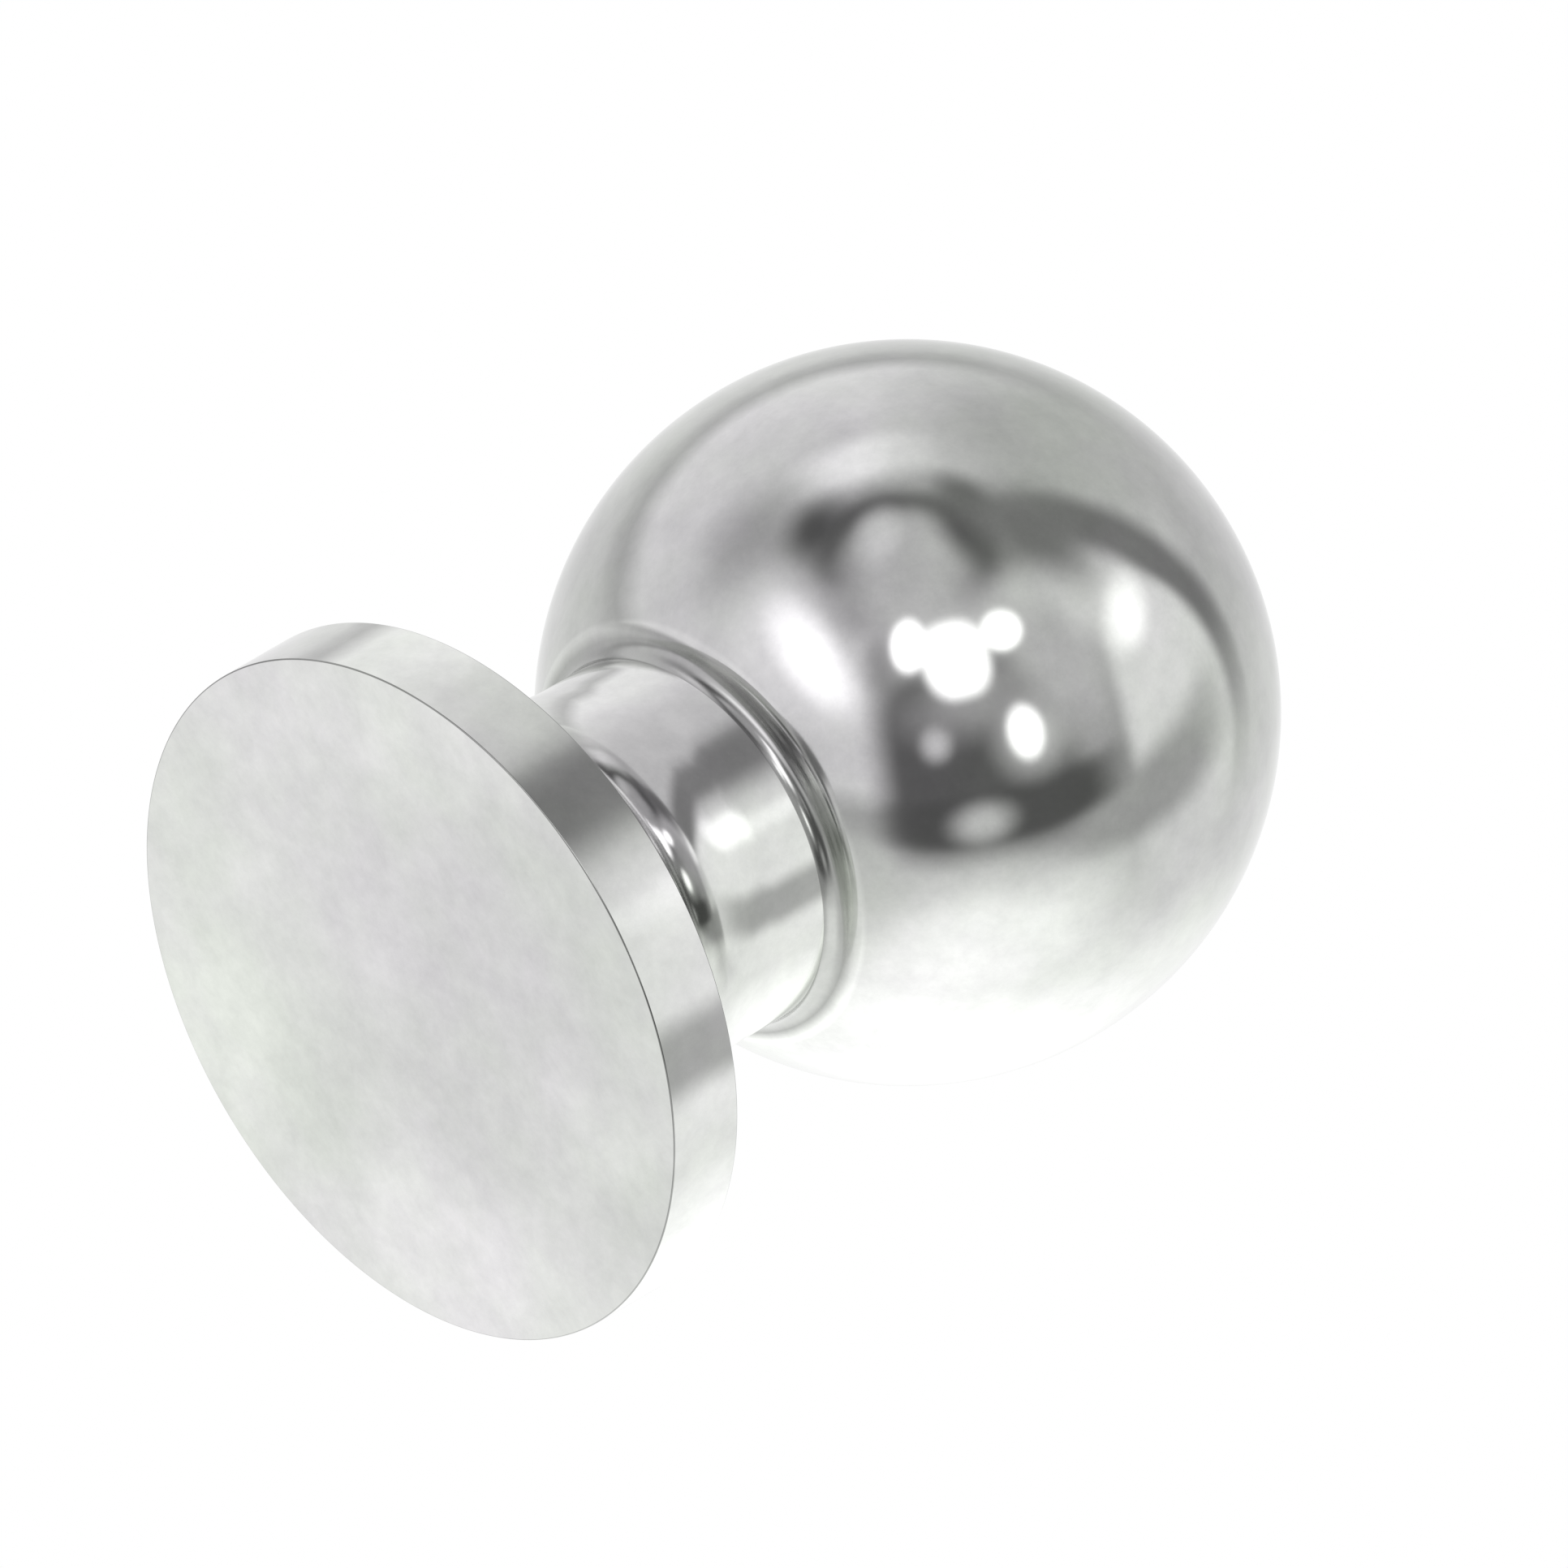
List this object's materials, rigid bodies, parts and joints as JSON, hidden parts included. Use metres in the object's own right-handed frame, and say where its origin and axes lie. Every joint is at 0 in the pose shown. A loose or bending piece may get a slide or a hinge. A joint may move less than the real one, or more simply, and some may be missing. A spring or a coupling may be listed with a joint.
{
  "type": "pivot ball",
  "caption": "Turned steel pivot ball on a short flared neck with a flat round flange; the flange is fixed to a surface and a socket grips the ball so that it swivels and tilts.",
  "frame": {"origin": "centre of the flange's flat face, which the part stands on", "axes": "+Z along the turning axis, from the flange to the ball; X and Y are any square pair across it"},
  "size_m": [0.025, 0.025, 0.036],
  "materials": {
    "polished_steel": "bright polished steel with a fine satin blur"
  },
  "bodies": {
    "root": {"pivot_ball": "polished_steel"}
  },
  "joints": []
}
